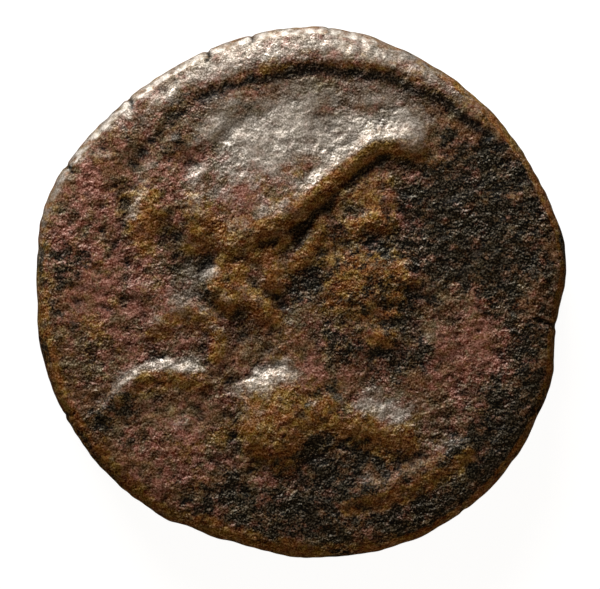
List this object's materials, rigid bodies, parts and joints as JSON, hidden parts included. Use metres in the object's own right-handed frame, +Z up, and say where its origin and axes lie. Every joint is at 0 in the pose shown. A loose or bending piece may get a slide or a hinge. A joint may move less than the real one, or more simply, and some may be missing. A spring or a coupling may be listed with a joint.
{
  "type": "ancient greek coin",
  "caption": "Thick hand-struck bronze disc with an uneven edge, a worn helmeted bust in relief on the upper face and a worn wreath and vase below; lies flat.",
  "frame": {"origin": "on the resting plane, under the middle of the coin's bounding box", "axes": "+Z up, out of the face with the bust; +Y towards the top of the bust's head; +X the way the bust looks"},
  "size_m": [0.0249, 0.025, 0.0039],
  "materials": {
    "bronze": "worn bronze with a mottled brown patina"
  },
  "bodies": {
    "root": {"coin": "bronze"}
  },
  "joints": []
}
